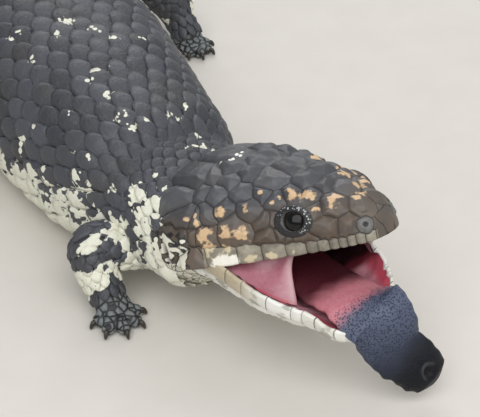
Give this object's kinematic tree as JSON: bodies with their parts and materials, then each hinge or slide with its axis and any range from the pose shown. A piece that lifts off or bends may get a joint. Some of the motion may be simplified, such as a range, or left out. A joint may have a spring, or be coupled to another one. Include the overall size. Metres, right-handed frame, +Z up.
{
  "type": "shingleback skink figure",
  "caption": "Life-size still figure of a shingleback blue-tongued skink resting on its belly, head turned, gaping with the blue tongue out.",
  "frame": {"origin": "middle of the outer box, on the floor", "axes": "+Z up, the trunk heads along -Y, +X is the animal's left"},
  "size_m": [0.1416, 0.3206, 0.0537],
  "materials": {
    "hide": "overlapping horny scales, dark slate brown with cream spots, satin",
    "foot_scales": "small blue-grey scales with cream ones, dark claws",
    "tongue": "moist dark blue with pink base",
    "eye": "polished near-black with a grey rim"
  },
  "bodies": {
    "root": {"head": "hide", "lower_jaw": "hide", "tongue": "tongue", "eye_left": "eye", "eye_right": "eye", "neck": "hide", "torso": "hide", "tail": "hide", "foreleg_right": "hide", "forefoot_right": "foot_scales", "foreleg_left": "hide", "forefoot_left": "foot_scales", "hindleg_right": "hide", "hindfoot_right": "foot_scales", "hindleg_left": "hide", "hindfoot_left": "foot_scales"}
  },
  "joints": []
}
